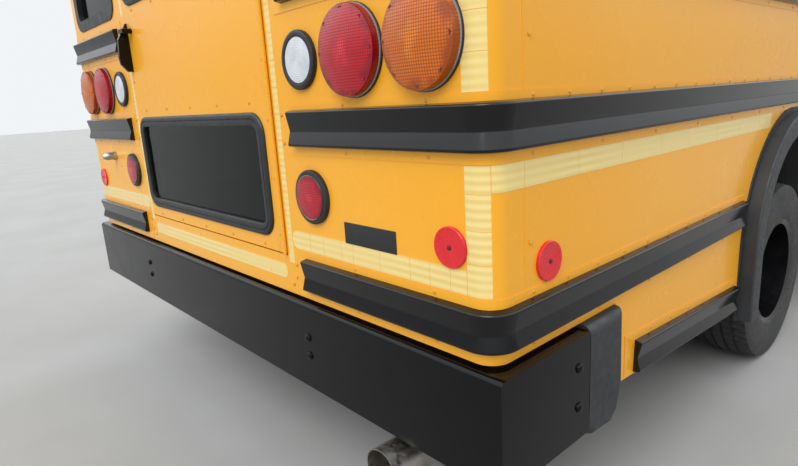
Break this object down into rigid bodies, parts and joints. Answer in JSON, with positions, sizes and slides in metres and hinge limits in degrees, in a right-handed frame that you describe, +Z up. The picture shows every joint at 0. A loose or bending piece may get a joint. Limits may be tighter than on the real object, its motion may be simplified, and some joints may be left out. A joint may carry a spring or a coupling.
{
  "type": "small school bus",
  "caption": "Yellow school bus body on a short-nosed van chassis with twin rear wheels, rear emergency door, folding stop and crossing arms.",
  "frame": {"origin": "on the ground, under the middle of the whole bus", "axes": "+X forward, +Y to the driver's left, +Z up"},
  "size_m": [6.7, 2.74, 2.9],
  "materials": {
    "bus_yellow": "glossy chrome-yellow paint",
    "gloss_black": "glossy black paint",
    "sash_black": "black anodised aluminium",
    "black_rubber": "moulded rubber",
    "chassis_black": "chassis paint",
    "engine_iron": "cast iron",
    "radiator_alloy": "finned alloy",
    "exhaust_steel": "aluminised steel",
    "floor_rubber": "ribbed rubber flooring on steel",
    "tinted_glass": "tinted safety glass",
    "red_lens": "moulded lens",
    "amber_lens": "moulded lens",
    "clear_lens": "moulded lens",
    "tyre_rubber": "tread rubber",
    "wheel_black": "black painted steel",
    "seat_vinyl": "dark blue vinyl",
    "seat_steel": "powder-coated tube",
    "dash_plastic": "moulded plastic",
    "sign_red": "red sheet aluminium",
    "arm_yellow": "yellow tube",
    "hatch_white": "moulded lid"
  },
  "bodies": {
    "bus": {"left_wall": "bus_yellow", "right_wall": "bus_yellow", "rear_wall": "bus_yellow", "roof": "bus_yellow", "front_cap": "bus_yellow", "cab": "bus_yellow", "nose": "bus_yellow", "rub_rails": "gloss_black", "rear_bumper": "gloss_black", "front_bumper": "gloss_black", "lamp_bases": "gloss_black", "grille": "gloss_black", "mirrors": "gloss_black", "arm_bases": "gloss_black", "window_frames": "sash_black", "rubber_guards": "black_rubber", "chassis_frame": "chassis_black", "rear_axle": "chassis_black", "front_axle": "chassis_black", "suspension": "chassis_black", "driveshaft": "chassis_black", "fuel_tank": "chassis_black", "engine": "engine_iron", "radiator": "radiator_alloy", "exhaust": "exhaust_steel", "body_floor": "floor_rubber", "fixed_glass": "tinted_glass", "lenses_red": "red_lens", "lenses_amber": "amber_lens", "lenses_clear": "clear_lens", "passenger_seats": "seat_vinyl", "driver_seat": "seat_vinyl", "seat_frames": "seat_steel", "dashboard": "dash_plastic", "steering_wheel": "dash_plastic"},
    "rear_door": {"rear_door": "bus_yellow", "rear_door_seals": "black_rubber", "rear_door_glass": "tinted_glass", "rear_door_handle": "gloss_black"},
    "driver_door": {"driver_door": "bus_yellow", "driver_door_glass": "tinted_glass"},
    "entry_leaf_rear": {"entry_leaf_rear": "gloss_black", "entry_glass_rear": "tinted_glass"},
    "entry_leaf_front": {"entry_leaf_front": "gloss_black", "entry_glass_front": "tinted_glass"},
    "hood": {"hood": "bus_yellow"},
    "hatch_lid": {"hatch_lid": "hatch_white"},
    "stop_arm": {"stop_arm": "sign_red"},
    "crossing_arm": {"crossing_arm": "arm_yellow"},
    "knuckle_left": {"knuckle_left": "chassis_black"},
    "knuckle_right": {"knuckle_right": "chassis_black"},
    "wheel_front_left": {"tyre_front_left": "tyre_rubber", "rim_front_left": "wheel_black"},
    "wheel_front_right": {"tyre_front_right": "tyre_rubber", "rim_front_right": "wheel_black"},
    "wheels_rear_left": {"tyres_rear_left": "tyre_rubber", "rims_rear_left": "wheel_black"},
    "wheels_rear_right": {"tyres_rear_right": "tyre_rubber", "rims_rear_right": "wheel_black"}
  },
  "joints": [
    {"name": "rear_door_swing", "type": "hinge", "parent": "bus", "child": "rear_door", "pos_m": [-3.296, -0.4915, 1.42], "axis": [0, 0, 1], "range_deg": [0, 100]},
    {"name": "driver_door_swing", "type": "hinge", "parent": "bus", "child": "driver_door", "pos_m": [2.112, 1.008, 1.2], "axis": [0, 0, -1], "range_deg": [0, 65]},
    {"name": "entry_front_swing", "type": "hinge", "parent": "bus", "child": "entry_leaf_front", "pos_m": [1.957, -1.197, 1.24], "axis": [0, 0, 1], "range_deg": [0, 90]},
    {"name": "entry_rear_swing", "type": "hinge", "parent": "bus", "child": "entry_leaf_rear", "pos_m": [1.213, -1.197, 1.24], "axis": [0, 0, -1], "range_deg": [0, 90]},
    {"name": "hood_lift", "type": "hinge", "parent": "bus", "child": "hood", "pos_m": [2.435, 0, 1.32], "axis": [0, -1, 0], "range_deg": [0, 50]},
    {"name": "hatch_lift", "type": "hinge", "parent": "bus", "child": "hatch_lid", "pos_m": [-0.485, 0, 2.875], "axis": [0, 1, 0], "range_deg": [0, 70]},
    {"name": "stop_arm_swing", "type": "hinge", "parent": "bus", "child": "stop_arm", "pos_m": [1.06, 1.262, 1.25], "axis": [0, 0, -1], "range_deg": [0, 90]},
    {"name": "crossing_arm_swing", "type": "hinge", "parent": "bus", "child": "crossing_arm", "pos_m": [3.315, -0.8, 0.56], "axis": [0, 0, -1], "range_deg": [0, 90]},
    {"name": "steer_left", "type": "hinge", "parent": "bus", "child": "knuckle_left", "pos_m": [2.571, 0.79, 0.362], "axis": [0, 0, 1], "range_deg": [-33, 33]},
    {"name": "steer_right", "type": "hinge", "parent": "bus", "child": "knuckle_right", "pos_m": [2.571, -0.79, 0.362], "axis": [0, 0, 1], "range_deg": [-33, 33]},
    {"name": "roll_front_left", "type": "hinge", "parent": "knuckle_left", "child": "wheel_front_left", "pos_m": [2.571, 0.882, 0.362], "axis": [0, 1, 0], "continuous": true},
    {"name": "roll_front_right", "type": "hinge", "parent": "knuckle_right", "child": "wheel_front_right", "pos_m": [2.571, -0.882, 0.362], "axis": [0, 1, 0], "continuous": true},
    {"name": "roll_rear_left", "type": "hinge", "parent": "bus", "child": "wheels_rear_left", "pos_m": [-1.442, 0.934, 0.362], "axis": [0, 1, 0], "continuous": true},
    {"name": "roll_rear_right", "type": "hinge", "parent": "bus", "child": "wheels_rear_right", "pos_m": [-1.442, -0.934, 0.362], "axis": [0, 1, 0], "continuous": true}
  ],
  "couplings": [
    {"joint": "entry_rear_swing", "follows": "entry_front_swing", "ratio": 1},
    {"joint": "steer_right", "follows": "steer_left", "ratio": 1}
  ]
}
